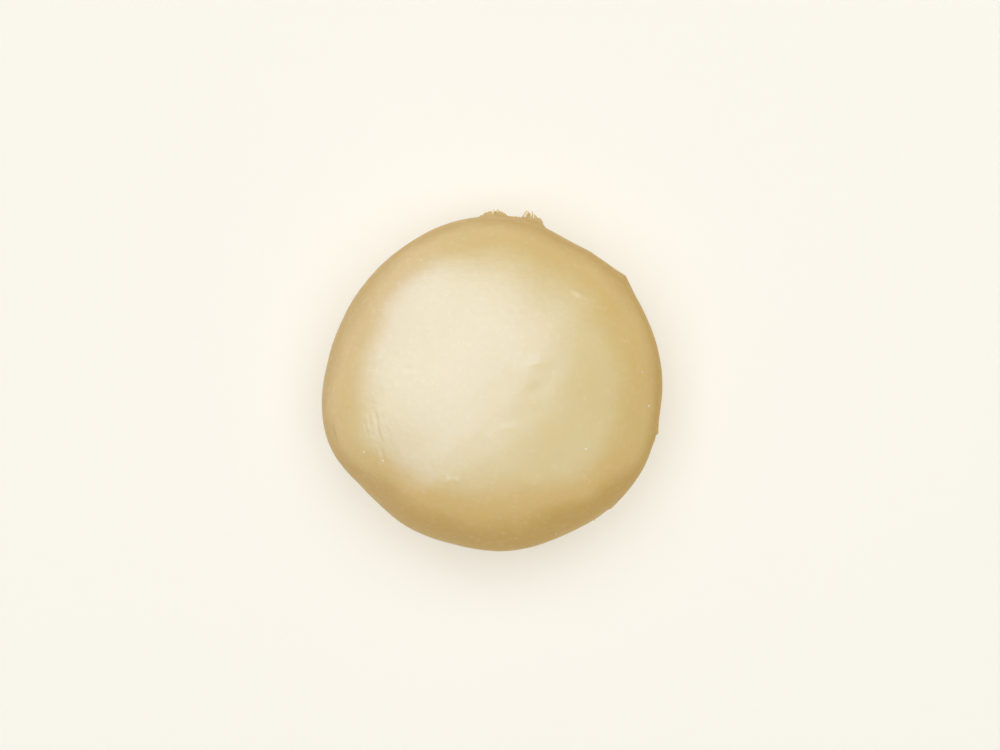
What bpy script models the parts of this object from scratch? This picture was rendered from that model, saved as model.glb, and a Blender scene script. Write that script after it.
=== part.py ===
"""A round of white bread dough: kneaded smooth, its skin drawn tight over the top and gathered below.

Metres, +Z up. The dough rests on its own flattened foot at z = 0, and the middle of its outline is
over the origin. A direction is in degrees counter-clockwise from +X, seen from above. A level runs
over the skin from 0 at the top, through 1 at the belly and 2 at the rim of the foot, to 3 at the pinch
in the middle of the foot.
"""

import math

import bmesh
import bpy
from mathutils import Vector, noise

# Driving dimensions
BELLY_RADIUS = 0.0689  # mean radius at the widest level
BELLY_HEIGHT = 0.035
HEIGHT = 0.083
FOOT_RADIUS = 0.040
DOME_POWER = 2.3  # 2 is an ellipse, and more is fuller at the shoulder
TUCK_POWER = 2.0
HEART = Vector((0.0, 0.0, BELLY_HEIGHT))  # relief moves the skin straight away from this point

# Swells and flats of the outline: direction, half width in degrees, height
OUTLINE_SWELLS = (
    (2, 14, 0.0008),
    (39, 5, 0.0006),
    (60, 16, -0.0027),
    (104, 14, 0.0004),
    (126, 16, -0.0016),
    (156, 20, -0.0013),
    (196, 20, 0.0043),
    (218, 12, -0.0011),
    (238, 10, 0.0005),
    (260, 14, -0.0007),
    (309, 10, 0.0003),
    (328, 14, 0.0019),
)
LUMP_SPACING = 0.034
LUMP_HEIGHT = 0.0009

# Edges of skin folded over itself on the flank: direction of the edge, run-out in degrees, height
FLANK_FOLDS = ((313, 6, 0.0009), (343, 9, 0.0010))
FOLD_EDGE = 0.6  # degrees that the step itself takes
FOLD_END = 4.0  # run-outs after which nothing is left of it
FOLD_MIDDLE, FOLD_REACH = 0.034, 0.013  # height of its thickest place, and how far it runs up and down

# Pleats of the gathered skin: direction at the foot, lean in degrees up to its end, end height, depth
PLEATS = (
    (14, 6, 0.016, 0.0016),
    (36, 4, 0.034, 0.0014),
    (66, -7, 0.012, 0.0022),
    (97, 5, 0.024, 0.0019),
    (121, -3, 0.010, 0.0013),
    (156, 7, 0.019, 0.0021),
    (179, -5, 0.008, 0.0012),
    (208, 12, 0.028, 0.0018),
    (246, 4, 0.014, 0.0022),
    (269, -4, 0.009, 0.0013),
    (304, 9, 0.026, 0.0018),
    (337, 5, 0.022, 0.0016),
)
PLEAT_HALF_WIDTH = 0.0029
PINCH_OFFSET = Vector((-0.005, 0.004, 0.0))  # where the gathered skin meets, from the middle of the foot
PINCH_TWIST = 40  # degrees that the gathered skin turns on its way there
PINCH_RADIUS = 0.0085
PINCH_DEPTH = 0.0035

# The torn lip low on the back. Its tabs: direction, half width in degrees, reach
LIP_TABS = ((76.8, 3.6, 0.0031), (89.8, 3.4, 0.0020))
LIP_FROM, LIP_TO, LIP_STEP = 64.0, 104.0, 1.0
LIP_RUN_IN = 11.0  # degrees over which it grows out of the skin at either end
LIP_SWELL = 0.0025  # reach of the lip between its tabs
LIP_INSET = 0.0014  # how far inside the skin its reach is counted from
LIP_HEIGHT = 0.044
LIP_DROOP = 0.008  # how much lower its ends are
LIP_WANDER = 0.0012
WANDER_SPACING = 6.0  # degrees
RAG_SPACING = 2.2  # degrees
RAG_REACH = 0.0014
# The lip's section from its underside to its top: share of the reach, distance up from its middle
LIP_SECTION = (
    (0.25, -0.0030),
    (0.76, -0.0014),
    (1.00, -0.0004),
    (0.97, 0.0005),
    (0.68, 0.0017),
    (0.38, 0.0034),
    (0.14, 0.0054),
)
LIP_TOP = 0.0066  # where its upper side goes into the skin, up from its middle
LIP_ROOT = 0.0045  # how far the lip starts inside the skin
THINNEST = 0.3  # share of the lip's thickness, and of the hollow's width, that is left at its ends
HOLLOW_DROP = 0.009  # from the lip's middle down to the raw hollow under it
HOLLOW_HALF = 0.0052
HOLLOW_DEPTH = 0.0024
RAW_SPACING = 0.0065
RAW_HEIGHT = 0.0011

# Shreds and nibs that stand out: direction, height, reach, width, depth, sideways lean, curl
SHREDS = (
    (75.2, 0.0436, 0.0044, 0.0020, 0.0016, 0.0004, 0.0006),
    (76.9, 0.0438, 0.0049, 0.0014, 0.0012, -0.0003, 0.0010),
    (78.5, 0.0434, 0.0043, 0.0018, 0.0014, 0.0002, 0.0005),
    (88.3, 0.0436, 0.0032, 0.0020, 0.0014, 0.0004, 0.0005),
    (90.8, 0.0438, 0.0030, 0.0016, 0.0012, -0.0003, 0.0007),
    (38.4, 0.0440, 0.0006, 0.0032, 0.0044, 0.0004, 0.0004),
    (342.6, 0.0440, 0.0010, 0.0022, 0.0030, -0.0004, 0.0004),
    (306.2, 0.0420, 0.0006, 0.0020, 0.0026, 0.0003, 0.0004),
)
SHRED_ROOT = 0.0035  # how far a shred starts inside the skin
SHRED_SIDES = 7
SHRED_STATIONS = 4
SHRED_TIP = 0.35  # share of its width that is left at the tip

# Mesh
DIRECTION_STEP = 3.6
FINE_STEP = 1.8  # round the torn lip
DOME_RINGS = 18
TUCK_RINGS = 14
FOOT_RINGS = 7
SLIVER = 0.00003
HALVINGS = 30  # when a level is looked up from its height

DOUGH_COLOUR = (0.84, 0.75, 0.60, 1.0)
DOUGH_ROUGHNESS = 0.5


def turn(degrees, from_degrees=0.0):
    """The smaller turn from one direction to the other, between -180 and 180 degrees."""
    return (degrees - from_degrees + 180.0) % 360.0 - 180.0


def bell(distance, half_width):
    return math.exp(-((distance / half_width) ** 2))


def hump(distance, half_width):
    """Like a bell, but exactly 0 from its half width outwards."""
    return max(1.0 - (distance / half_width) ** 2, 0.0) ** 2


def ease(value):
    """0 below 0, 1 above 1, and smooth between them."""
    value = min(max(value, 0.0), 1.0)
    return value * value * (3.0 - 2.0 * value)


def outward_at(direction):
    radians = math.radians(direction)
    return Vector((math.cos(radians), math.sin(radians), 0.0))


def belly_radius(direction):
    swell = sum(height * bell(turn(direction, at), half) for at, half, height in OUTLINE_SWELLS)
    return BELLY_RADIUS + swell


def quarter(share, power):
    """Across and up on a quarter of a superellipse, evenly spaced from its top at 0 to its side at 1."""
    even = share ** (power / 2.0)
    angle = math.pi / 2.0 * even / (even + (1.0 - share) ** (power / 2.0))
    return math.sin(angle) ** (2.0 / power), max(math.cos(angle), 0.0) ** (2.0 / power)


def smooth_point(direction, level):
    """A point of the main form, without relief."""
    belly = belly_radius(direction)
    if level <= 1.0:
        across, up = quarter(level, DOME_POWER)
        height = BELLY_HEIGHT + (HEIGHT - BELLY_HEIGHT) * up
        return outward_at(direction) * belly * across + Vector((0.0, 0.0, height))
    if level <= 2.0:
        down, across = quarter(level - 1.0, TUCK_POWER)
        radius = FOOT_RADIUS + (belly - FOOT_RADIUS) * across
        return outward_at(direction) * radius + Vector((0.0, 0.0, BELLY_HEIGHT * (1.0 - down)))
    inward = level - 2.0
    twisted = outward_at(direction + PINCH_TWIST * inward**2)
    return twisted * FOOT_RADIUS * (1.0 - inward) + PINCH_OFFSET * inward


def lumps(point):
    """The slow unevenness of the whole skin, which dies out towards the foot."""
    return noise.noise(point / LUMP_SPACING) * LUMP_HEIGHT * ease(point.z / BELLY_HEIGHT)


def flank_folds(direction, point):
    """Steps where skin lies folded over itself, sudden on one side and running out on the other."""
    total = 0.0
    for edge, run_out, height in FLANK_FOLDS:
        past = turn(direction, edge)
        if -FOLD_EDGE < past < FOLD_END * run_out:
            step = math.exp(-past / run_out) if past >= 0.0 else 1.0 + past / FOLD_EDGE
            total += height * step * bell(point.z - FOLD_MIDDLE, FOLD_REACH)
    return total


def pleat_depth(direction, point, level):
    """The deepest pleat at this place. Pleats fade with height and run together at the pinch."""
    radius = FOOT_RADIUS * (3.0 - level) if level > 2.0 else math.hypot(point.x, point.y)
    deepest = 0.0
    for at, lean, top, depth in PLEATS:
        rise = point.z / top
        across = radius * math.radians(turn(direction, at + lean * rise))
        deepest = max(deepest, depth * hump(across, PLEAT_HALF_WIDTH) * ease(1.0 - rise))
    return deepest


def pinch_depth(level):
    if level < 2.0:
        return 0.0
    return PINCH_DEPTH * hump(FOOT_RADIUS * (3.0 - level), PINCH_RADIUS)


def torn_share(direction):
    """1 along the middle of the torn stretch of the flank, 0 beyond its ends."""
    return ease((direction - LIP_FROM) / LIP_RUN_IN) * ease((LIP_TO - direction) / LIP_RUN_IN)


def thickness(share):
    return THINNEST + (1.0 - THINNEST) * share


def lip_height(direction):
    """The height of the torn edge, which hangs lower towards its ends."""
    from_middle = (2.0 * direction - LIP_FROM - LIP_TO) / (LIP_TO - LIP_FROM)
    wander = noise.noise(Vector((direction / WANDER_SPACING, 0.0, 0.0))) * LIP_WANDER
    return LIP_HEIGHT - LIP_DROOP * from_middle**2 + wander


def raw_hollow(direction, point):
    """The rough hollow that the tear left under its lip."""
    share = torn_share(direction)
    if not share:
        return 0.0
    below = point.z - lip_height(direction) + HOLLOW_DROP * share
    depth = share * bell(below, HOLLOW_HALF * thickness(share))
    return depth * (noise.noise(point / RAW_SPACING) * RAW_HEIGHT - HOLLOW_DEPTH)


def skin_point(direction, level):
    point = smooth_point(direction, level)
    relief = lumps(point) + flank_folds(direction, point) + raw_hollow(direction, point)
    relief -= max(pleat_depth(direction, point, level), pinch_depth(level))
    point += (point - HEART).normalized() * relief
    point.z = max(point.z, 0.0)
    return point


def directions():
    """One turn of directions, closer together round the torn lip and at the edge of each fold."""
    found = [edge - FOLD_EDGE for edge, _, _ in FLANK_FOLDS] + [edge for edge, _, _ in FLANK_FOLDS]
    direction = 0.0
    while direction < 359.9:
        if min(abs(turn(direction, edge)) for edge, _, _ in FLANK_FOLDS) > FOLD_EDGE:
            found.append(direction)
        direction += FINE_STEP if LIP_FROM <= direction < LIP_TO else DIRECTION_STEP
    return sorted(found)


def levels():
    """The rings' levels, without the single points at the top and at the pinch."""
    dome = [(ring + 1) / DOME_RINGS for ring in range(DOME_RINGS)]
    tuck = [1.0 + (ring + 1) / TUCK_RINGS for ring in range(TUCK_RINGS)]
    foot = [2.0 + (ring + 1) / (FOOT_RINGS + 1) for ring in range(FOOT_RINGS)]
    return dome + tuck + foot


def make_object(name, bm):
    bmesh.ops.recalc_face_normals(bm, faces=bm.faces)
    mesh = bpy.data.meshes.new(name)
    bm.to_mesh(mesh)
    bm.free()
    return bpy.data.objects.new(name, mesh)


def make_skin():
    bm = bmesh.new()
    around = directions()
    top = bm.verts.new(skin_point(0.0, 0.0))
    rings = [[bm.verts.new(skin_point(way, level)) for way in around] for level in levels()]
    pinch = bm.verts.new(skin_point(0.0, 3.0))
    count = len(around)
    for i in range(count):
        following = (i + 1) % count
        bm.faces.new((top, rings[0][i], rings[0][following]))
        for upper, lower in zip(rings, rings[1:]):
            bm.faces.new((upper[i], lower[i], lower[following], upper[following]))
        bm.faces.new((rings[-1][i], pinch, rings[-1][following]))
    bmesh.ops.triangulate(bm, faces=bm.faces)
    return make_object("dough", bm)


def level_of_height(height):
    """The level of the main form that has this height."""
    low, high = 0.0, 2.0
    for _ in range(HALVINGS):
        middle = (low + high) / 2.0
        if smooth_point(0.0, middle).z > height:
            low = middle
        else:
            high = middle
    return (low + high) / 2.0


def make_lofted(name, rings):
    """A closed solid through rings of points, capped at both ends."""
    bm = bmesh.new()
    loops = [[bm.verts.new(point) for point in ring] for ring in rings]
    sides = len(loops[0])
    for near, far in zip(loops, loops[1:]):
        for side in range(sides):
            following = (side + 1) % sides
            bm.faces.new((near[side], near[following], far[following], far[side]))
    bm.faces.new(loops[0][::-1])
    bm.faces.new(loops[-1])
    bmesh.ops.triangulate(bm, faces=bm.faces)
    return make_object(name, bm)


def lip_reach(direction):
    """How far the torn edge reaches. It is 0 where the edge has run out into the skin."""
    tabs = sum(reach * bell(direction - at, half) for at, half, reach in LIP_TABS)
    rag = noise.noise(Vector((direction / RAG_SPACING, 0.0, 0.0))) * RAG_REACH
    return torn_share(direction) * (LIP_SWELL + tabs + rag)


def flank_point(direction, height):
    """A point of the uneven flank at this height."""
    point = smooth_point(direction, level_of_height(height))
    return point + outward_at(direction) * lumps(point)


def make_lip():
    """The ragged edge of the tear: a ridge that flows out of the skin above it and is undercut below."""
    rings = []
    for step in range(round((LIP_TO - LIP_FROM) / LIP_STEP) + 1):
        direction = LIP_FROM + step * LIP_STEP
        outward = outward_at(direction)
        spread = thickness(torn_share(direction))
        middle = lip_height(direction)
        ring = []
        for share, up in LIP_SECTION:
            out = share * lip_reach(direction) - LIP_INSET
            ring.append(flank_point(direction, middle + up * spread) + outward * out)
        ring.append(flank_point(direction, middle + LIP_TOP * spread) - outward * LIP_ROOT)
        ring.append(ring[0] - outward * LIP_ROOT)
        rings.append(ring)
    return make_lofted("lip", rings)


def make_shred(direction, height, reach, width, depth, lean, curl):
    """A tapering tongue of dough that starts inside the skin and ends in a small blunt tip."""
    root = smooth_point(direction, level_of_height(height))
    outward = outward_at(direction)
    sideways = Vector((-outward.y, outward.x, 0.0))
    upward = Vector((0.0, 0.0, 1.0))
    rings = []
    for station in range(SHRED_STATIONS):
        along = station / (SHRED_STATIONS - 1)
        middle = root + outward * (along * (reach + SHRED_ROOT) - SHRED_ROOT)
        middle += sideways * lean * along**2 + upward * curl * along**2
        size = 1.0 - (1.0 - SHRED_TIP) * along**2
        ring = []
        for side in range(SHRED_SIDES):
            angle = 2.0 * math.pi * side / SHRED_SIDES
            offset = sideways * math.cos(angle) * width + upward * math.sin(angle) * depth
            ring.append(middle + offset * size / 2.0)
        rings.append(ring)
    return make_lofted("shred", rings)


def join_torn_edges(dough):
    """Fuses the lip and the shreds to the dough and removes their own objects."""
    edges = bpy.data.collections.new("torn_edges")
    bpy.context.scene.collection.children.link(edges)
    edges.objects.link(make_lip())
    for row in SHREDS:
        edges.objects.link(make_shred(*row))
    union = dough.modifiers.new("torn_edges", "BOOLEAN")
    union.operation = "UNION"
    union.operand_type = "COLLECTION"
    union.solver = "EXACT"
    union.collection = edges
    bpy.context.view_layer.objects.active = dough
    bpy.ops.object.modifier_apply(modifier=union.name)
    for edge in list(edges.objects):
        bpy.data.objects.remove(edge)
    bpy.data.collections.remove(edges)


def drop_slivers(dough):
    """Collapses the edges, far finer than the dough's own detail, that fusing leaves."""
    bm = bmesh.new()
    bm.from_mesh(dough.data)
    bmesh.ops.dissolve_degenerate(bm, dist=SLIVER, edges=bm.edges)
    bmesh.ops.triangulate(bm, faces=bm.faces)
    bm.to_mesh(dough.data)
    bm.free()


def centre_over_origin(dough):
    """Puts the middle of the outline over the origin."""
    points = [vertex.co for vertex in dough.data.vertices]
    middle_x = (min(point.x for point in points) + max(point.x for point in points)) / 2.0
    middle_y = (min(point.y for point in points) + max(point.y for point in points)) / 2.0
    for point in points:
        point.x -= middle_x
        point.y -= middle_y


def dough_material():
    material = bpy.data.materials.new("dough")
    material.use_nodes = True
    shader = material.node_tree.nodes["Principled BSDF"]
    shader.inputs["Base Color"].default_value = DOUGH_COLOUR
    shader.inputs["Roughness"].default_value = DOUGH_ROUGHNESS
    shader.inputs["Metallic"].default_value = 0.0
    return material


def main():
    for old in list(bpy.data.objects):
        bpy.data.objects.remove(old)
    dough = make_skin()
    bpy.context.scene.collection.objects.link(dough)
    join_torn_edges(dough)
    drop_slivers(dough)
    centre_over_origin(dough)
    dough.data.materials.append(dough_material())
    dough.data.shade_smooth()


main()
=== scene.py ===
"""The look of a round of white bread dough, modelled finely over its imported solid.

Metres, +Z up, in the solid's own frame. A direction is in degrees counter-clockwise from +X, seen from
above. A level runs over the skin from 0 at the top, through 1 at the belly and 2 at the rim of the foot,
to 3 at the pinch in the middle of the foot. The main form has the same values as the solid, and the
photograph's finer relief is laid over it.
"""

import math

import bmesh
import bpy
from mathutils import Matrix, Vector, noise


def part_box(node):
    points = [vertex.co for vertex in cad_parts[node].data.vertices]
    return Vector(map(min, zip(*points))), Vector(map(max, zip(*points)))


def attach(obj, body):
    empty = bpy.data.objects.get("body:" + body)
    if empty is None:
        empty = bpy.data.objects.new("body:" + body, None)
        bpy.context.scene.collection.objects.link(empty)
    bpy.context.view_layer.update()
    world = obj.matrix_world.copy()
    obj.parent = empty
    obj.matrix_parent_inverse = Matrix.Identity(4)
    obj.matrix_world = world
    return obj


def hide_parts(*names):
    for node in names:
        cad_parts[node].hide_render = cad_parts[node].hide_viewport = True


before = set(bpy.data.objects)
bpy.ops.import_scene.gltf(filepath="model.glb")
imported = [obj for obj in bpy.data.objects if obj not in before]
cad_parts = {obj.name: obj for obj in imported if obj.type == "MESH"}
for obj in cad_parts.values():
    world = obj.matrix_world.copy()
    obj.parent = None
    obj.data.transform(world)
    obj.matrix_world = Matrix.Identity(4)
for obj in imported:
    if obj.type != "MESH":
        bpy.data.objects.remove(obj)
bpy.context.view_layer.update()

# Main form, as in the solid
BELLY_RADIUS = 0.0689
BELLY_HEIGHT = 0.035
HEIGHT = 0.083
FOOT_RADIUS = 0.040
DOME_POWER = 2.3
TUCK_POWER = 2.0
HEART = Vector((0.0, 0.0, BELLY_HEIGHT))  # all relief but the torn lip's points away from this place
OUTLINE_SWELLS = (  # direction, half width in degrees, height
    (2, 14, 0.0008),
    (39, 5, 0.0006),
    (60, 16, -0.0027),
    (104, 14, 0.0004),
    (126, 16, -0.0016),
    (156, 20, -0.0013),
    (196, 20, 0.0043),
    (218, 12, -0.0011),
    (238, 10, 0.0005),
    (260, 14, -0.0007),
    (309, 10, 0.0003),
    (328, 14, 0.0019),
)
LUMP_SPACING = 0.034
LUMP_HEIGHT = 0.0009
FLANK_FOLDS = ((313, 6, 0.0009), (343, 9, 0.0010))  # direction of the edge, run-out, height
FOLD_EDGE = 0.45  # degrees
FOLD_END = 4.0  # run-outs from a fold's edge to where nothing is left of it
FOLD_MIDDLE, FOLD_REACH = 0.034, 0.013
SKIN_CORNERS = (  # direction, run-outs before and past it in degrees, height
    (39.3, 3.0, 3.0, 0.0010),
    (53.6, 2.5, 2.0, 0.0004),
    (341.0, 5.0, 5.0, 0.0007),
    (343.3, 0.8, 3.0, 0.0006),
)
CORNER_MIDDLE, CORNER_REACH = 0.046, 0.009
PLEATS = (  # direction, lean in degrees, end height, depth
    (14, 6, 0.016, 0.0016),
    (36, 4, 0.034, 0.0014),
    (66, -7, 0.012, 0.0022),
    (97, 5, 0.024, 0.0019),
    (121, -3, 0.010, 0.0013),
    (156, 7, 0.019, 0.0021),
    (179, -5, 0.008, 0.0012),
    (208, 12, 0.028, 0.0018),
    (246, 4, 0.014, 0.0022),
    (269, -4, 0.009, 0.0013),
    (304, 9, 0.026, 0.0018),
    (337, 5, 0.022, 0.0016),
)
PLEAT_HALF_WIDTH = 0.0029
PINCH_OFFSET = Vector((-0.005, 0.004, 0.0))
PINCH_TWIST = 40  # degrees
PINCH_RADIUS = 0.0085
PINCH_DEPTH = 0.0035

# The torn lip's edge: direction, reach out of the flank
LIP_EDGE = (
    (64.0, 0.0000),
    (69.0, 0.0002),
    (72.0, 0.0008),
    (72.8, 0.0014),
    (73.4, 0.0026),
    (74.2, 0.0033),
    (75.2, 0.0034),
    (76.2, 0.0038),
    (77.4, 0.0036),
    (78.4, 0.0042),
    (79.0, 0.0038),
    (79.7, 0.0024),
    (81.0, 0.0014),
    (83.5, 0.0010),
    (85.2, 0.0010),
    (86.5, 0.0018),
    (87.6, 0.0026),
    (89.0, 0.0028),
    (90.1, 0.0023),
    (91.2, 0.0027),
    (92.6, 0.0020),
    (94.4, 0.0009),
    (97.0, 0.0002),
    (104.0, 0.0000),
)
LIP_FROM, LIP_TO = LIP_EDGE[0][0], LIP_EDGE[-1][0]
LIP_RUN_IN = 11.0  # degrees over which it grows out of the skin at either end
LIP_INSET = 0.0014  # how far inside the skin its section's reach is counted from
LIP_HEIGHT = 0.044
LIP_DROOP = 0.008  # how much lower its ends are
LIP_WANDER = 0.0012  # how far it wanders up and down
WANDER_SPACING = 6.0  # degrees
LIP_SECTION = (  # distance up from its middle, share of the reach
    (-0.0044, 0.00),
    (-0.0030, 0.25),
    (-0.0014, 0.76),
    (-0.0004, 1.00),
    (0.0005, 0.97),
    (0.0017, 0.68),
    (0.0034, 0.38),
    (0.0054, 0.14),
    (0.0072, 0.00),
)
LIP_SAG = 0.35  # how far a place on the lip hangs down for each unit that it stands out
LIP_SOFTNESS = 0.0003  # how gently it leaves the skin
RAG_SPACING = 0.0011  # between the small lumps of torn dough
RAG_HEIGHT = 0.0005
THINNEST = 0.3  # thickness of its ends, against its middle

# The raw hollow that the tear left under the lip
HOLLOW_DROP = 0.009  # how far it lies below the edge
HOLLOW_HALF = 0.0052
HOLLOW_DEPTH = 0.0024
RAW_SPACING = 0.0065
RAW_HEIGHT = 0.0011
RAW_FINE_HEIGHT = 0.00025

# Fibres and a nib: direction, height, reach, width, depth, sideways lean, curl, and the share of the width
# that is left at the tip
FIBRES = (
    (75.3, 0.0430, 0.0030, 0.0020, 0.0014, 0.0008, 0.0004, 0.30),
    (76.4, 0.0434, 0.0042, 0.0026, 0.0014, 0.0004, 0.0006, 0.20),
    (77.6, 0.0436, 0.0046, 0.0018, 0.0010, -0.0002, 0.0007, 0.35),
    (79.2, 0.0434, 0.0042, 0.0027, 0.0018, 0.0000, 0.0005, 0.80),
    (89.1, 0.0436, 0.0030, 0.0022, 0.0014, -0.0003, 0.0005, 0.30),
    (90.8, 0.0438, 0.0028, 0.0022, 0.0012, -0.0008, 0.0006, 0.25),
    (306.2, 0.0420, 0.0006, 0.0020, 0.0026, 0.0003, 0.0004, 0.50),
)
FIBRE_ROOT = 0.0035  # how deep inside the skin it starts
FIBRE_SIDES = 12
FIBRE_STATIONS = 12  # rings along a fibre, closer together towards its rounded end
FIBRE_TONE = -0.25
FIBRE_ROUNDING = 0.97  # how far its end is rounded off
ROUNDING_POWER = 8  # the higher it is, the closer to the end the rounding begins
FIBRE_UNEVENNESS = 0.25
FIBRE_SPACING = 0.0009  # between the thick and thin places of a fibre
HALVINGS = 30  # in the search for the level that a fibre's root has

# Thin tan lines of painted crease shade in the skin: direction, height, half length in degrees, half
# width, tone
SHADED_CREASE_LINES = (
    (37.6, 0.0515, 1.8, 0.0011, 0.80),
    (84.5, 0.0520, 7.5, 0.0012, 0.65),
    (197.0, 0.0603, 3.6, 0.0009, 0.50),
)

# Tones: 1 is the skin's darkest tan of painted shade in pleats, the pinch, folds and the hollow, 0 its
# plain colour, and what is below 0 is paler
PLEAT_SHADE, HOLLOW_SHADE, FOLD_SHADE, EDGE_TONE = 0.60, 0.25, 0.35, -0.35
FULL_PLEAT, FULL_EDGE = 0.0022, 0.0045  # depth of a pleat and reach of the lip that have their whole tone
FOLD_SHADE_WIDTH = 1.2  # degrees

# Marks on the dome, seen from above: x, y, half length, half width, slant in degrees, height
MARKS = (
    (0.0320, 0.0337, 0.0026, 0.0011, -30, 0.00048),  # blister
    (0.0150, 0.0078, 0.0040, 0.0020, 6, 0.00034),  # soft bump
    (0.0140, 0.0135, 0.0030, 0.0012, 5, -0.00012),  # faint dent behind it
    (0.0172, -0.0006, 0.0046, 0.0024, 8, -0.00032),  # soft dent, gentler on its near side
    (0.0185, -0.0050, 0.0060, 0.0050, 8, -0.00034),
    (0.0050, -0.0156, 0.0036, 0.0012, -4, 0.00020),  # bent ridge
    (-0.0004, -0.0184, 0.0032, 0.0012, 34, 0.00017),
    (0.0060, -0.0125, 0.0042, 0.0014, 12, -0.00010),  # faint dent along it
    (-0.0166, -0.0348, 0.0012, 0.0009, 75, 0.00025),  # two small bumps side by side
    (-0.0133, -0.0348, 0.0012, 0.0009, 75, 0.00025),
    (-0.0416, -0.0264, 0.0042, 0.0008, -77, -0.00015),  # crease on the left shoulder
    (-0.0428, -0.0160, 0.0050, 0.0008, -84, -0.00007),
    (-0.0309, 0.0057, 0.0014, 0.0011, 0, -0.00022),  # small pit
    (-0.0618, -0.0205, 0.0034, 0.0007, -78, -0.00040),  # crease at the left edge
    (-0.0090, -0.0560, 0.0040, 0.0009, -25, 0.00022),  # ridge near the front edge
    (-0.0040, 0.0310, 0.0075, 0.0014, 31, 0.00007),  # three faint ridges
    (-0.0005, 0.0092, 0.0080, 0.0014, 27, 0.00008),
    (0.0345, 0.0130, 0.0050, 0.0016, -60, 0.00010),
)
MARK_REACH = 3.0  # half lengths beyond which nothing is left of a mark

# Slow waves of the skin, which run from lower left to upper right over the dome
WAVE_SLANT = 32  # degrees
WAVE_LENGTH, WAVE_WIDTH = 0.024, 0.0075
WAVE_HEIGHT = 0.00016

# Fine stretch marks along the outline
STRETCH_LENGTH, STRETCH_WIDTH = 0.011, 0.0017
STRETCH_HEIGHT = 0.00004
STRETCH_GONE = 0.1245  # height, over the dough's own top, at which they would be gone

# Wrinkles that run down the left shoulder, in a patch that is strongest in its middle
WRINKLE_PATCH = Vector((-0.0452, -0.0010, 0.0))
PATCH_HALF_WIDTH, PATCH_HALF_LENGTH = 0.0095, 0.028
WRINKLE_SLANT = 99  # degrees
WRINKLE_LENGTH, WRINKLE_WIDTH = 0.0065, 0.0013
WRINKLE_HEIGHT = 0.00011

# The finest unevenness that is modelled, with one rougher patch near the back
GRAIN_SPACING = 0.0027
GRAIN_HEIGHT = 0.00006
ROUGH_PATCH = Vector((-0.0094, 0.0512, 0.0))
ROUGH_PATCH_RADIUS = 0.0060
ROUGH_PATCH_HEIGHT = 0.00014
FINE_RELIEF_FROM = 0.006  # height below which the marks, waves, wrinkles and grain fade out

# Fine wrinkles that run into the pinch
GATHER_SPACING = 5.0  # degrees
GATHER_DEPTH = 0.0006
GATHER_RADIUS = 0.019

# Mesh: the grid of a cube is rounded into a ball, and the skin is laid out from that ball
BASE_CUTS = 89  # along each edge of the cube
FINE_CUTS = 3  # within each base face where there is small detail
BELLY_ANGLE, FOOT_ANGLE = 105.0, 150.0  # where the belly and the foot's rim lie, from the ball's top
FINE_BAND = (66.0, 101.0, 0.029, 0.054)  # directions and heights of the torn lip
FOLD_BAND = 3.0  # degrees to either side of a fold's edge or a corner
FOLD_BAND_HEIGHTS = (0.012, 0.046)
CORNER_BAND_HEIGHTS = (0.038, 0.054)
NARROW_MARK = 0.0012  # half width below which a mark needs the finer mesh
MARK_MARGIN = 0.001  # of finer mesh beyond a mark's half length

# Stray grains of flour: where they show in the photograph, in pixels, and their radius
PHOTO_SIZE = (1000, 750)
FLOUR_GRAINS = (
    (649.0, 406.0, 0.00045),
    (364.0, 452.0, 0.00031),
    (383.0, 460.5, 0.00027),
    (586.0, 449.0, 0.00035),
    (589.5, 446.0, 0.00022),
    (556.0, 534.0, 0.00035),
    (421.0, 260.0, 0.00025),
    (447.0, 295.0, 0.00022),
    (642.0, 372.0, 0.00024),
)
FLOUR_FLATNESS = 0.55
FLOUR_UNEVENNESS = 0.5
FLOUR_LUMP = 1.3  # radii
FLOUR_FINENESS = 3  # how many times the faces of a grain are divided

# Camera
CAMERA_LENS = 28.7  # mm, on a sensor 36 mm wide
CAMERA_SENSOR = 36.0
CAMERA_PLACE = Vector((0.00307, 0.00228, 0.3700))
CLIP_START = 0.01

# Light
HORIZON_COLOUR = (0.74, 0.72, 0.69, 1.0)
ZENITH_COLOUR = (0.28, 0.275, 0.265, 1.0)
HORIZON_UP_TO, ZENITH_FROM = 0.12, 0.40  # sines of the elevation
FLOOR_RADIUS = 8.0
FLOOR_SIDES = 96
# Panels: place, width and length, tilt from facing down and turn in degrees, brightness
OVERHEAD = ((0.02, 0.75, 4.2), (5.6, 5.6), 0, 0, 2.0)
OVERHEAD_COLOUR = (1.0, 1.0, 1.0)
SKY_PANELS = (
    ((-1.15, 0.76, 1.05), (3.0, 1.95), 0, -38, 12.6),
    ((-1.00, 1.12, 1.05), (3.3, 3.3), 0, -16, 5.9),
    ((-1.86, -1.30, 1.05), (1.8, 1.2), 0, 42, 10.0),
    ((1.15, -1.90, 1.05), (2.2, 2.4), 0, 0, 1.8),
    ((-1.69, 1.52, 0.65), (1.2, 1.1), 90, -132, 8.0),
)
SKY_COLOUR = (0.43, 0.59, 1.0)

# Colours of the materials, linear
CROWN_SKIN = (0.70, 0.575, 0.30, 1.0)
CROWN_PATCH = (0.69, 0.56, 0.275, 1.0)
# The shoulder's and flank's golden colours are partly the dough's own warmer tone and partly painted shade
# and painted warm reflection
SHOULDER_SKIN_AND_SHADE = (0.65, 0.466, 0.173, 1.0)
FLANK_SKIN_AND_SHADE = (0.535, 0.34, 0.084, 1.0)
LOW_SKIN = (0.71, 0.56, 0.28, 1.0)
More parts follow.
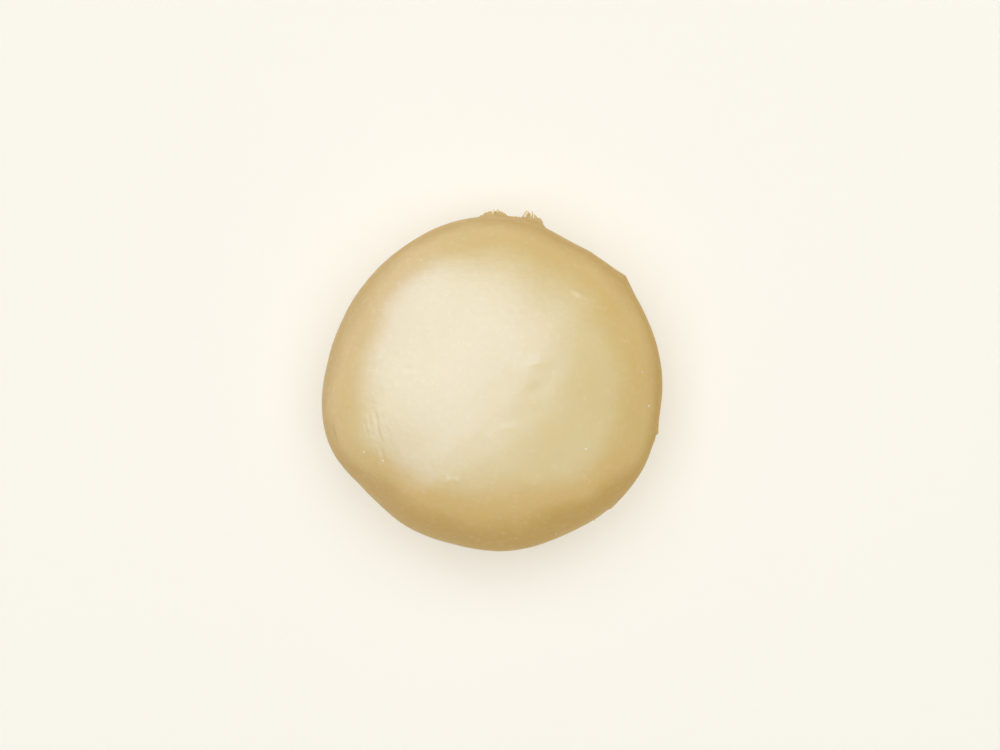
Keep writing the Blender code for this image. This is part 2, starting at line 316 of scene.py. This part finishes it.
# Tan of painted shade in pleats, the pinch, folds, crease lines and the hollow under the lip
PAINTED_CREASE_SHADE = (0.50, 0.30, 0.11, 1.0)
TORN_PALE = (0.86, 0.78, 0.56, 1.0)
FLOUR_WHITE = (0.84, 0.78, 0.63, 1.0)
FLOUR_CREAM = (0.76, 0.67, 0.50, 1.0)
FLOOR_PALE = (0.96, 0.935, 0.86, 1.0)
FLOOR_CREAM = (0.94, 0.915, 0.84, 1.0)

# Heights between which the skin's colour changes, into and out of the painted shade and painted warm
# reflection of the shoulder and flank
CROWN_END, SHOULDER_MIDDLE, FLANK_START = 0.077, 0.066, 0.054
FLANK_END, LOW_START = 0.051, 0.018
# Painted shade: towards the front the golden flank colour reaches higher up
SHADED_FRONT_START, SHADED_FRONT_END = -0.022, -0.052  # Y between which these heights rise towards the front
SHADED_FRONT_RISE = 0.009
WARM_WANDER = 0.0026  # how far these heights wander up and down

# Noise of the materials: scale, detail, roughness
WANDER_NOISE = (30.0, 3.0, 0.5)
PATCH_NOISE = (38.0, 3.0, 0.5)
SPECKLE_NOISE = (420.0, 4.0, 0.6)
GLOSS_NOISE = (160.0, 3.0, 0.5)
PORE_NOISE = (1500.0, 3.0, 0.6)
DIMPLE_NOISE = (420.0, 3.0, 0.55)
FLOUR_NOISE = (3000.0, 2.0, 0.5)
FLOOR_NOISE = (3.0, 2.0, 0.5)
NOISE_LOW, NOISE_HIGH = 0.3, 0.7  # most of a noise lies between these
PATCH_FROM, PATCH_TO = 0.35, 0.68
SPECKLE_FROM, SPECKLE_TO = 0.50, 0.80
SPECKLE_SHARE = 0.15  # how far the palest speckles turn to the colour of torn dough

# The skin's other properties
PALEST_TONE = -0.9  # at which it has the whole colour of torn dough
SMOOTHEST, ROUGHEST = 0.31, 0.37
FACING_BLEND = 0.5
GRAZING_FROM, GRAZING_TO = 0.25, 0.65
GRAZING_ROUGHNESS = 0.40  # added where the skin is seen at a low angle
SPECULAR = 0.25
SUBSURFACE_SHARE = 0.5
SUBSURFACE_RADIUS = (1.0, 0.6, 0.3)
SUBSURFACE_SCALE = 0.004
PORE_DEPTH, PORE_STRENGTH = 0.0001, 0.30
DIMPLE_DEPTH, DIMPLE_STRENGTH = 0.0003, 0.25
FLOUR_ROUGHNESS = 0.9


def turn(degrees, from_degrees=0.0):
    """The smaller turn from one direction to the other, between -180 and 180 degrees."""
    return (degrees - from_degrees + 180.0) % 360.0 - 180.0


def bell(distance, half_width):
    """1 in the middle, and smoothly down to nothing on both sides."""
    return math.exp(-((distance / half_width) ** 2))


def hump(distance, half_width):
    """Like a bell, but exactly 0 from its half width outwards."""
    return max(1.0 - (distance / half_width) ** 2, 0.0) ** 2


def ease(value):
    """0 below 0, 1 above 1, and smooth between them."""
    value = min(max(value, 0.0), 1.0)
    return value * value * (3.0 - 2.0 * value)


def between(rows, value):
    """The second column of the rows, read off smoothly where the first column has this value."""
    if value <= rows[0][0]:
        return rows[0][1]
    for (near, low), (far, high) in zip(rows, rows[1:]):
        if value <= far:
            return low + (high - low) * ease((value - near) / (far - near))
    return rows[-1][1]


def outward_at(direction):
    """The level unit vector that points this way."""
    radians = math.radians(direction)
    return Vector((math.cos(radians), math.sin(radians), 0.0))


def belly_radius(direction):
    """How far the main form's widest place lies from the middle."""
    swell = sum(height * bell(turn(direction, at), half) for at, half, height in OUTLINE_SWELLS)
    return BELLY_RADIUS + swell


def quarter(share, power):
    """Across and up on a quarter of a superellipse, evenly spaced from its top at 0 to its side at 1."""
    even = share ** (power / 2.0)
    angle = math.pi / 2.0 * even / (even + (1.0 - share) ** (power / 2.0))
    return math.sin(angle) ** (2.0 / power), max(math.cos(angle), 0.0) ** (2.0 / power)


def smooth_point(direction, level):
    """A point of the main form, without relief."""
    belly = belly_radius(direction)
    if level <= 1.0:
        across, up = quarter(level, DOME_POWER)
        height = BELLY_HEIGHT + (HEIGHT - BELLY_HEIGHT) * up
        return outward_at(direction) * belly * across + Vector((0.0, 0.0, height))
    if level <= 2.0:
        down, across = quarter(level - 1.0, TUCK_POWER)
        radius = FOOT_RADIUS + (belly - FOOT_RADIUS) * across
        return outward_at(direction) * radius + Vector((0.0, 0.0, BELLY_HEIGHT * (1.0 - down)))
    inward = level - 2.0
    twisted = outward_at(direction + PINCH_TWIST * inward**2)
    return twisted * FOOT_RADIUS * (1.0 - inward) + PINCH_OFFSET * inward


def lumps(point):
    """The slow unevenness of the whole skin, which dies out towards the foot."""
    return noise.noise(point / LUMP_SPACING) * LUMP_HEIGHT * ease(point.z / BELLY_HEIGHT)


def flank_folds(direction, point):
    """Steps where skin lies folded over itself, sudden on one side and running out on the other."""
    total = 0.0
    for edge, run_out, height in FLANK_FOLDS:
        past = turn(direction, edge)
        if -FOLD_EDGE < past < FOLD_END * run_out:
            step = math.exp(-past / run_out) if past >= 0.0 else ease(1.0 + past / FOLD_EDGE)
            total += height * step * bell(point.z - FOLD_MIDDLE, FOLD_REACH)
    return total


def skin_corners(direction, point):
    """Peaks with straight sides that the stretched skin makes in the outline seen from above."""
    total = 0.0
    for at, before, past, height in SKIN_CORNERS:
        off = turn(direction, at)
        total += height * math.exp(-abs(off) / (past if off > 0.0 else before))
    return total * bell(point.z - CORNER_MIDDLE, CORNER_REACH)


def pleat_depth(direction, point, level):
    """The deepest pleat at this place. Pleats fade with height and run together at the pinch."""
    radius = FOOT_RADIUS * (3.0 - level) if level > 2.0 else math.hypot(point.x, point.y)
    deepest = 0.0
    for at, lean, top, depth in PLEATS:
        rise = point.z / top
        if rise < 1.0:
            across = radius * math.radians(turn(direction, at + lean * rise))
            deepest = max(deepest, depth * hump(across, PLEAT_HALF_WIDTH) * ease(1.0 - rise))
    return deepest


def pinch_depth(direction, level):
    """The hollow where the skin was pinched together, and the fine wrinkles that run into it."""
    if level < 2.0:
        return 0.0
    radius = FOOT_RADIUS * (3.0 - level)
    ring = Vector((math.cos(math.radians(direction)), math.sin(math.radians(direction)), 0.0))
    wrinkle = max(noise.noise(ring * math.degrees(1.0) / GATHER_SPACING), 0.0)
    fine = GATHER_DEPTH * wrinkle * hump(radius, GATHER_RADIUS)
    return max(PINCH_DEPTH * hump(radius, PINCH_RADIUS), fine)


def torn_share(direction):
    """1 along the middle of the torn stretch of the flank, 0 beyond its ends."""
    return ease((direction - LIP_FROM) / LIP_RUN_IN) * ease((LIP_TO - direction) / LIP_RUN_IN)


def thickness(share):
    """How thick the lip is there, against its middle."""
    return THINNEST + (1.0 - THINNEST) * share


def lip_height(direction):
    """The height of the torn edge, which hangs lower towards its ends."""
    from_middle = (2.0 * direction - LIP_FROM - LIP_TO) / (LIP_TO - LIP_FROM)
    wander = noise.noise(Vector((direction / WANDER_SPACING, 0.0, 0.0))) * LIP_WANDER
    return LIP_HEIGHT - LIP_DROOP * from_middle**2 + wander


def raw_hollow(direction, point):
    """The rough hollow that the tear left under its lip."""
    share = torn_share(direction)
    if not share:
        return 0.0
    below = point.z - lip_height(direction) + HOLLOW_DROP * share
    depth = share * bell(below, HOLLOW_HALF * thickness(share))
    rough = noise.noise(point / RAW_SPACING) * RAW_HEIGHT
    rough += noise.noise(point / RAG_SPACING) * RAW_FINE_HEIGHT
    return depth * (rough - HOLLOW_DEPTH)


def lip_out(direction, point):
    """How far the torn lip carries this place of the flank outwards."""
    share = torn_share(direction)
    if not share:
        return 0.0
    up = (point.z - lip_height(direction)) / thickness(share)
    part = between(LIP_SECTION, up)
    if not part:
        return 0.0
    reach = between(LIP_EDGE, direction) + LIP_INSET * share
    reach += noise.noise(point / RAG_SPACING) * RAG_HEIGHT * share * part
    proud = reach * part - LIP_INSET
    if proud < -LIP_SOFTNESS:
        return 0.0
    if proud < LIP_SOFTNESS:
        return (proud + LIP_SOFTNESS) ** 2 / (4.0 * LIP_SOFTNESS)
    return proud


def marks(point):
    """The single bumps, dents, ridges and creases of the dome."""
    total = 0.0
    for x, y, half_length, half_width, slant, height in MARKS:
        dx, dy = point.x - x, point.y - y
        if abs(dx) > MARK_REACH * half_length or abs(dy) > MARK_REACH * half_length:
            continue
        along = outward_at(slant)
        run = dx * along.x + dy * along.y
        aside = dy * along.x - dx * along.y
        total += height * bell(run, half_length) * bell(aside, half_width)
    return total


def stretched_noise(point, slant, length, width):
    """Noise that is drawn out along a direction over the dome."""
    along = outward_at(slant)
    run = point.x * along.x + point.y * along.y
    aside = point.y * along.x - point.x * along.y
    return noise.noise(Vector((run / length, aside / width, point.z / length)))


def waves(point):
    """Slow waves of the stretched skin over the dome."""
    return stretched_noise(point, WAVE_SLANT, WAVE_LENGTH, WAVE_WIDTH) * WAVE_HEIGHT


def shoulder_wrinkles(point):
    """Wrinkles down the left shoulder of the dome."""
    aside, along = point.x - WRINKLE_PATCH.x, point.y - WRINKLE_PATCH.y
    strength = bell(aside, PATCH_HALF_WIDTH) * bell(along, PATCH_HALF_LENGTH)
    wrinkle = stretched_noise(point, WRINKLE_SLANT, WRINKLE_LENGTH, WRINKLE_WIDTH)
    return wrinkle * WRINKLE_HEIGHT * strength


def stretch_marks(direction, point):
    """Fine wrinkles that run round the dough."""
    strength = ease((STRETCH_GONE - point.z) / HEIGHT)
    outward = math.hypot(point.x, point.y) - point.z
    run = outward_at(direction) * BELLY_RADIUS / STRETCH_LENGTH
    place = Vector((run.x, run.y, outward / STRETCH_WIDTH))
    return noise.noise(place) * STRETCH_HEIGHT * strength


def grain(point):
    """The finest unevenness that is modelled, rougher in one patch near the back."""
    rough = bell((point.xy - ROUGH_PATCH.xy).length, ROUGH_PATCH_RADIUS) if point.z > BELLY_HEIGHT else 0.0
    height = GRAIN_HEIGHT + (ROUGH_PATCH_HEIGHT - GRAIN_HEIGHT) * rough
    return noise.noise(point / GRAIN_SPACING) * height


def fine_relief(direction, point):
    """Low relief of the skin: waves, stretch marks and grain, and marks and wrinkles on the dome."""
    total = waves(point) + stretch_marks(direction, point) + grain(point)
    if point.z > BELLY_HEIGHT:
        total += marks(point) + shoulder_wrinkles(point)
    return total * ease(point.z / FINE_RELIEF_FROM)


def skin_point(direction, level):
    """A point of the finished skin."""
    point = smooth_point(direction, level)
    relief = lumps(point) + flank_folds(direction, point) + skin_corners(direction, point)
    relief += raw_hollow(direction, point) + fine_relief(direction, point)
    relief -= max(pleat_depth(direction, point, level), pinch_depth(direction, level))
    proud = lip_out(direction, point)
    point += (point - HEART).normalized() * relief
    point += outward_at(direction) * proud
    point.z = max(point.z - LIP_SAG * proud, 0.0)
    return point


def way_of(unit):
    """The direction and level of the skin that a point of the unit ball stands for."""
    direction = math.degrees(math.atan2(unit.y, unit.x)) % 360.0
    from_top = math.degrees(math.acos(min(max(unit.z, -1.0), 1.0)))
    if from_top <= BELLY_ANGLE:
        return direction, from_top / BELLY_ANGLE
    if from_top <= FOOT_ANGLE:
        return direction, 1.0 + (from_top - BELLY_ANGLE) / (FOOT_ANGLE - BELLY_ANGLE)
    return direction, 2.0 + (from_top - FOOT_ANGLE) / (180.0 - FOOT_ANGLE)


def ball_of_cube(corner):
    """Where a point of the cube from -1 to 1 lies on the unit ball, with even spacing."""
    return Vector([math.tan(part * math.pi / 4.0) for part in corner]).normalized()


def is_detailed(unit):
    """Whether this place of the skin holds small shapes that need a finer mesh."""
    direction, level = way_of(unit)
    if level > 2.0:
        return False
    point = smooth_point(direction, level)
    first, last, low, high = FINE_BAND
    if first < direction < last and low < point.z < high:
        return True
    for rows, (low, high) in ((FLANK_FOLDS, FOLD_BAND_HEIGHTS), (SKIN_CORNERS, CORNER_BAND_HEIGHTS)):
        if low < point.z < high and any(abs(turn(direction, row[0])) < FOLD_BAND for row in rows):
            return True
    if point.z < BELLY_HEIGHT:
        return False
    for x, y, half_length, half_width, _, _ in MARKS:
        if half_width < NARROW_MARK and math.hypot(point.x - x, point.y - y) < half_length + MARK_MARGIN:
            return True
    return False


def make_ball():
    """A cube's grid, finer where the skin has small shapes, with its points moved onto the unit ball."""
    bm = bmesh.new()
    bmesh.ops.create_cube(bm, size=2.0)
    bmesh.ops.subdivide_edges(bm, edges=bm.edges, cuts=BASE_CUTS, use_grid_fill=True)
    detailed = [face for face in bm.faces if is_detailed(ball_of_cube(face.calc_center_median()))]
    edges = {edge for face in detailed for edge in face.edges}
    bmesh.ops.subdivide_edges(bm, edges=list(edges), cuts=FINE_CUTS, use_grid_fill=True)
    for vertex in bm.verts:
        vertex.co = ball_of_cube(vertex.co)
    return bm


def level_of_height(height):
    """The level of the main form that has this height."""
    low, high = 0.0, 2.0
    for _ in range(HALVINGS):
        middle = (low + high) / 2.0
        if smooth_point(0.0, middle).z > height:
            low = middle
        else:
            high = middle
    return (low + high) / 2.0


def add_fibre(bm, shade_and_pallor, direction, height, reach, width, depth, lean, curl, tip):
    """A tapering thread of dough that starts inside the skin and ends in a small blunt tip."""
    root = smooth_point(direction, level_of_height(height))
    outward = outward_at(direction)
    sideways = Vector((-outward.y, outward.x, 0.0))
    upward = Vector((0.0, 0.0, 1.0))
    rings = []
    for station in range(FIBRE_STATIONS):
        along = math.sin(math.pi / 2.0 * station / (FIBRE_STATIONS - 1))
        middle = root + outward * (along * (reach + FIBRE_ROOT) - FIBRE_ROOT)
        bend = along**2
        middle += sideways * lean * bend + upward * curl * bend
        rounding = math.sqrt(1.0 - FIBRE_ROUNDING * along**ROUNDING_POWER)
        size = (1.0 - (1.0 - tip) * bend) * rounding
        ring = []
        for side in range(FIBRE_SIDES):
            angle = 2.0 * math.pi * side / FIBRE_SIDES
            offset = (sideways * math.cos(angle) * width + upward * math.sin(angle) * depth) / 2.0
            uneven = 1.0 + FIBRE_UNEVENNESS * noise.noise((middle + offset) / FIBRE_SPACING)
            vertex = bm.verts.new(middle + offset * size * uneven)
            vertex[shade_and_pallor] = FIBRE_TONE
            ring.append(vertex)
        rings.append(ring)
    for near, far in zip(rings, rings[1:]):
        for side in range(FIBRE_SIDES):
            following = (side + 1) % FIBRE_SIDES
            bm.faces.new((near[side], near[following], far[following], far[side]))
    bm.faces.new(rings[0][::-1])
    bm.faces.new(rings[-1])


def shade_and_pallor_at(direction, level, point):
    """How much painted shade darkens a place in pleats, the pinch, the hollow, folds and crease lines, and
    how much paler it is on the torn edge.
    """
    pleat = pleat_depth(direction, point, level) / FULL_PLEAT
    pinch = pinch_depth(direction, level) / PINCH_DEPTH
    hollow = -raw_hollow(direction, point) / HOLLOW_DEPTH
    edge = lip_out(direction, point) / FULL_EDGE
    fold_shade = 0.0
    for at, _, _ in FLANK_FOLDS:
        near = hump(turn(direction, at - FOLD_EDGE), FOLD_SHADE_WIDTH)
        fold_shade += near * bell(point.z - FOLD_MIDDLE, FOLD_REACH)
    # Thin lines of painted crease shade
    crease_line_shade = 0.0
    for at, height, half_length, half_width, shade_and_pallor in SHADED_CREASE_LINES:
        crease_line_shade += shade_and_pallor * bell(turn(direction, at), half_length) * bell(point.z - height, half_width)
    # Painted shade of pleats, the pinch, the hollow, folds and crease lines; the torn edge is paler
    painted_shade = PLEAT_SHADE * max(pleat, pinch) + HOLLOW_SHADE * max(hollow, 0.0) + FOLD_SHADE * fold_shade + crease_line_shade
    return painted_shade + EDGE_TONE * edge


def finish_piece(name, bm):
    """Turns a finished bmesh into a smooth object."""
    bmesh.ops.recalc_face_normals(bm, faces=bm.faces)
    mesh = bpy.data.meshes.new(name)
    bm.to_mesh(mesh)
    bm.free()
    mesh.shade_smooth()
    piece = bpy.data.objects.new(name, mesh)
    bpy.context.scene.collection.objects.link(piece)
    return piece


def make_dough():
    """The whole skin, with the painted shade and torn pallor of each place kept for its material."""
    bm = make_ball()
    shade_and_pallor = bm.verts.layers.float.new("shade_and_pallor")
    for vertex in bm.verts:
        direction, level = way_of(vertex.co)
        vertex[shade_and_pallor] = shade_and_pallor_at(direction, level, smooth_point(direction, level))
        vertex.co = skin_point(direction, level)
    return finish_piece("dough_skin", bm)


def make_fibres():
    """The fibres and the nib. They are a piece apart, because their roots reach in through the skin."""
    bm = bmesh.new()
    shade_and_pallor = bm.verts.layers.float.new("shade_and_pallor")
    for row in FIBRES:
        add_fibre(bm, shade_and_pallor, *row)
    return finish_piece("torn_fibres", bm)


def fit_to_solid(*pieces):
    """Moves the pieces over the solid, and trims their common box to the solid's."""
    points = [vertex.co for piece in pieces for vertex in piece.data.vertices]
    low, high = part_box("dough")
    for axis in range(3):
        start = min(point[axis] for point in points)
        end = max(point[axis] for point in points)
        stretch = (high[axis] - low[axis]) / (end - start)
        for point in points:
            point[axis] = low[axis] + (point[axis] - start) * stretch


def make_camera():
    """The photograph's camera, which looks straight down."""
    camera = bpy.data.objects.new("camera", bpy.data.cameras.new("camera"))
    camera.data.lens = CAMERA_LENS
    camera.data.sensor_width = CAMERA_SENSOR
    camera.data.clip_start = CLIP_START
    camera.location = CAMERA_PLACE
    bpy.context.scene.collection.objects.link(camera)
    bpy.context.scene.camera = camera


def seen_through(dough, pixel_x, pixel_y):
    """The place on the dough, and its normal, that the photograph shows at this pixel."""
    width, height = PHOTO_SIZE
    per_pixel = CAMERA_SENSOR / CAMERA_LENS / width
    ray = Vector(((pixel_x - width / 2.0) * per_pixel, (height / 2.0 - pixel_y) * per_pixel, -1.0))
    hit, place, normal, _ = dough.ray_cast(CAMERA_PLACE, ray.normalized())
    if not hit:
        raise ValueError(f"nothing of the dough shows at pixel {pixel_x}, {pixel_y}")
    return place, normal


def make_flour(dough):
    """Stray grains of flour, each a small uneven crumb half sunk into the skin."""
    bm = bmesh.new()
    for pixel_x, pixel_y, radius in FLOUR_GRAINS:
        place, normal = seen_through(dough, pixel_x, pixel_y)
        upright = normal.to_track_quat("Z", "Y").to_matrix().to_4x4()
        flat = Matrix.Diagonal((1.0, 1.0, FLOUR_FLATNESS, 1.0))
        set_down = Matrix.Translation(place) @ upright @ flat
        made = bmesh.ops.create_icosphere(bm, subdivisions=FLOUR_FINENESS, radius=radius, matrix=set_down)
        for vertex in made["verts"]:
            from_middle = vertex.co - place
            uneven = FLOUR_UNEVENNESS * noise.noise(vertex.co / (radius * FLOUR_LUMP))
            vertex.co = place + from_middle * (1.0 + uneven)
    return finish_piece("flour_grains", bm)


class Nodes:
    """Short names for making and linking the nodes of one material."""

    def __init__(self, name):
        self.material = bpy.data.materials.new(name)
        self.material.use_nodes = True
        self.tree = self.material.node_tree
        self.shader = self.tree.nodes["Principled BSDF"]

    def add(self, kind, **settings):
        node = self.tree.nodes.new(kind)
        for name, value in settings.items():
            setattr(node, name, value)
        return node

    def link(self, source, target):
        self.tree.links.new(source, target)

    def feed(self, target, source):
        """Links the source to the target if it is a socket, and otherwise sets it as a value."""
        if isinstance(source, bpy.types.NodeSocket):
            self.link(source, target)
        else:
            target.default_value = source

    def set(self, name, source):
        """Gives the material's shader a socket, a number or a colour."""
        self.feed(self.shader.inputs[name], source)

    def noise(self, place, settings):
        scale, detail, roughness = settings
        node = self.add("ShaderNodeTexNoise")
        self.link(place, node.inputs["Vector"])
        node.inputs["Scale"].default_value = scale
        node.inputs["Detail"].default_value = detail
        node.inputs["Roughness"].default_value = roughness
        return node.outputs["Fac"]

    def ramp(self, source, first, last, low=0.0, high=1.0):
        """Runs smoothly from low to high while the source runs from first to last."""
        node = self.add("ShaderNodeMapRange", interpolation_type="SMOOTHSTEP")
        self.link(source, node.inputs["Value"])
        for name, number in (("From Min", first), ("From Max", last), ("To Min", low), ("To Max", high)):
            node.inputs[name].default_value = number
        return node.outputs["Result"]

    def mix(self, share, first, second):
        """A colour from the first at share 0 to the second at share 1."""
        node = self.add("ShaderNodeMix", data_type="RGBA")
        self.feed(node.inputs["Factor"], share)
        for socket in node.inputs:
            if socket.name == "A" and socket.type == "RGBA":
                self.feed(socket, first)
            if socket.name == "B" and socket.type == "RGBA":
                self.feed(socket, second)
        return next(socket for socket in node.outputs if socket.type == "RGBA")

    def math(self, operation, first, second):
        node = self.add("ShaderNodeMath", operation=operation)
        self.link(first, node.inputs[0])
        self.link(second, node.inputs[1])
        return node.outputs[0]

    def bump(self, height, distance, strength, below=None):
        """The surface's normal once this height has roughened it, on top of the normal below."""
        node = self.add("ShaderNodeBump")
        node.inputs["Distance"].default_value = distance
        node.inputs["Strength"].default_value = strength
        self.link(height, node.inputs["Height"])
        if below:
            self.link(below, node.inputs["Normal"])
        return node.outputs["Normal"]


def colour_height(nodes, place):
    """The height that the skin's colour goes by. It is less than the real one at the front, so the painted
    shade of the flank reaches higher there, and uneven.
    """
    split = nodes.add("ShaderNodeSeparateXYZ")
    nodes.link(place, split.inputs[0])
    # Painted shade, which reaches higher on the front
    front_shade_lift = nodes.ramp(split.outputs["Y"], SHADED_FRONT_START, SHADED_FRONT_END, 0.0, SHADED_FRONT_RISE)
    uneven = nodes.noise(place, WANDER_NOISE)
    wander = nodes.ramp(uneven, NOISE_LOW, NOISE_HIGH, -WARM_WANDER, WARM_WANDER)
    return nodes.math("ADD", nodes.math("SUBTRACT", split.outputs["Z"], front_shade_lift), wander)


def skin_colour(nodes, place):
    """Pale on the crown, golden on the shoulder and flank (partly its own tone, partly painted shade and
    painted warm reflection), creamy below, with tan painted shade in creases and pale torn edges.
    """
    height = colour_height(nodes, place)
    shade_and_pallor = nodes.add("ShaderNodeAttribute", attribute_name="shade_and_pallor").outputs["Fac"]
    patches = nodes.ramp(nodes.noise(place, PATCH_NOISE), PATCH_FROM, PATCH_TO)
    speckles = nodes.noise(place, SPECKLE_NOISE)
    speckles = nodes.ramp(speckles, SPECKLE_FROM, SPECKLE_TO, 0.0, SPECKLE_SHARE)
    skin = nodes.mix(patches, CROWN_SKIN, CROWN_PATCH)
    # Shoulder and flank: partly the skin's own tone, partly painted shade and painted warm reflection
    skin = nodes.mix(nodes.ramp(height, CROWN_END, SHOULDER_MIDDLE), skin, SHOULDER_SKIN_AND_SHADE)
    skin = nodes.mix(nodes.ramp(height, SHOULDER_MIDDLE, FLANK_START), skin, FLANK_SKIN_AND_SHADE)
    skin = nodes.mix(nodes.ramp(height, FLANK_END, LOW_START), skin, LOW_SKIN)
    # Tan painted shade in pleats, the pinch, folds, crease lines and the hollow
    skin = nodes.mix(nodes.ramp(shade_and_pallor, 0.0, 1.0), skin, PAINTED_CREASE_SHADE)
    skin = nodes.mix(nodes.ramp(shade_and_pallor, 0.0, PALEST_TONE), skin, TORN_PALE)
    return nodes.mix(speckles, skin, TORN_PALE)


def skin_roughness(nodes, place):
    """A dull satin, uneven from place to place, and duller where the skin is seen at a low angle."""
    uneven = nodes.ramp(nodes.noise(place, GLOSS_NOISE), NOISE_LOW, NOISE_HIGH, SMOOTHEST, ROUGHEST)
    facing = nodes.add("ShaderNodeLayerWeight")
    facing.inputs["Blend"].default_value = FACING_BLEND
    grazing = nodes.ramp(facing.outputs["Facing"], GRAZING_FROM, GRAZING_TO, 0.0, GRAZING_ROUGHNESS)
    return nodes.math("ADD", uneven, grazing)


def skin_normal(nodes, place):
    """Dimples finer than the mesh, with pores in them."""
    pores = nodes.bump(nodes.noise(place, PORE_NOISE), PORE_DEPTH, PORE_STRENGTH)
    return nodes.bump(nodes.noise(place, DIMPLE_NOISE), DIMPLE_DEPTH, DIMPLE_STRENGTH, pores)


def dough_material():
    """Satin skin that lets some light in."""
    nodes = Nodes("dough")
    place = nodes.add("ShaderNodeTexCoord").outputs["Object"]
    nodes.set("Base Color", skin_colour(nodes, place))
    nodes.set("Roughness", skin_roughness(nodes, place))
    nodes.set("Normal", skin_normal(nodes, place))
    nodes.set("Specular IOR Level", SPECULAR)
    nodes.set("Subsurface Weight", SUBSURFACE_SHARE)
    nodes.set("Subsurface Radius", SUBSURFACE_RADIUS)
    nodes.set("Subsurface Scale", SUBSURFACE_SCALE)
    return nodes.material


def flour_material():
    """Matt flour, from white to cream."""
    nodes = Nodes("flour")
    place = nodes.add("ShaderNodeTexCoord").outputs["Object"]
    nodes.set("Base Color", nodes.mix(nodes.noise(place, FLOUR_NOISE), FLOUR_WHITE, FLOUR_CREAM))
    nodes.set("Roughness", FLOUR_ROUGHNESS)
    return nodes.material


def floor_material():
    """A pale surface without gloss."""
    nodes = Nodes("floor")
    place = nodes.add("ShaderNodeTexCoord").outputs["Object"]
    nodes.set("Base Color", nodes.mix(nodes.noise(place, FLOOR_NOISE), FLOOR_PALE, FLOOR_CREAM))
    nodes.set("Roughness", 1.0)
    nodes.set("Specular IOR Level", 0.0)
    return nodes.material


def make_floor():
    """A wide round floor."""
    bm = bmesh.new()
    bmesh.ops.create_circle(bm, cap_ends=True, radius=FLOOR_RADIUS, segments=FLOOR_SIDES)
    floor = finish_piece("floor", bm)
    floor.data.materials.append(floor_material())
    return floor


def make_world():
    """An even room that is pale near the horizon."""
    world = bpy.data.worlds.new("room")
    world.use_nodes = True
    tree = world.node_tree
    split = tree.nodes.new("ShaderNodeSeparateXYZ")
    tree.links.new(tree.nodes.new("ShaderNodeTexCoord").outputs["Generated"], split.inputs[0])
    ramp = tree.nodes.new("ShaderNodeValToRGB")
    ramp.color_ramp.interpolation = "EASE"
    near, far = ramp.color_ramp.elements
    near.position, near.color = HORIZON_UP_TO, HORIZON_COLOUR
    far.position, far.color = ZENITH_FROM, ZENITH_COLOUR
    tree.links.new(split.outputs["Z"], ramp.inputs["Fac"])
    tree.links.new(ramp.outputs["Color"], tree.nodes["Background"].inputs["Color"])
    bpy.context.scene.world = world


def hang_panel(name, row, colour):
    """A soft panel of light. Its brightness is the same whatever its size."""
    place, (width, length), tilt, degrees, strength = row
    panel = bpy.data.lights.new(name, "AREA")
    panel.shape = "RECTANGLE"
    panel.size = width
    panel.size_y = length
    panel.energy = strength * math.pi * width * length
    panel.color = colour
    hung = bpy.data.objects.new(name, panel)
    hung.location = place
    hung.rotation_euler = (math.radians(tilt), 0.0, math.radians(degrees))
    hung.visible_camera = False
    bpy.context.scene.collection.objects.link(hung)
    return hung


def light_the_room():
    """One panel shapes the dough. A cool sky shows only in its gloss, most of all on the left."""
    make_world()
    hang_panel("overhead", OVERHEAD, OVERHEAD_COLOUR).visible_glossy = False
    for row in SKY_PANELS:
        hang_panel("sky", row, SKY_COLOUR).visible_diffuse = False


def main():
    dough = make_dough()
    fibres = make_fibres()
    fit_to_solid(dough, fibres)
    skin_material = dough_material()
    for piece in (dough, fibres):
        piece.data.materials.append(skin_material)
        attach(piece, "root")
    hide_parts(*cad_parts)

    make_camera()
    bpy.context.view_layer.update()
    flour = make_flour(dough)
    flour.data.materials.append(flour_material())
    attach(flour, "root")

    make_floor()
    light_the_room()
    bpy.context.scene.view_settings.view_transform = "Standard"


main()
